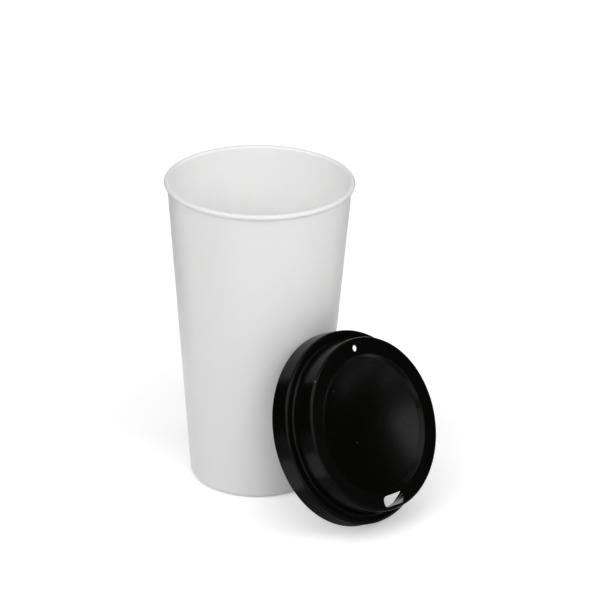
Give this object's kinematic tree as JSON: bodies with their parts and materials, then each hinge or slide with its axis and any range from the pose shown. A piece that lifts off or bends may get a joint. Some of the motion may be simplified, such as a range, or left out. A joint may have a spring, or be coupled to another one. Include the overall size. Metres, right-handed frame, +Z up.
{
  "type": "reusable coffee cup with lid",
  "caption": "Tall tapered white plastic cup with a rolled rim, and its black press-on lid with a drinking slot and a vent, taken off and leaning against the cup's side.",
  "frame": {"origin": "centre of the cup's foot ring, on the surface that the cup stands on", "axes": "+Z up along the cup's axis; the lid leans on the side between +X and -Y, and the picture looks along +Y"},
  "size_m": [0.1302, 0.131, 0.1515],
  "materials": {
    "cup_plastic": "smooth white polypropylene with a soft gloss",
    "lid_plastic": "satin black polypropylene, finely spark-textured"
  },
  "bodies": {
    "root": {"cup": "cup_plastic", "lid": "lid_plastic"}
  },
  "joints": []
}
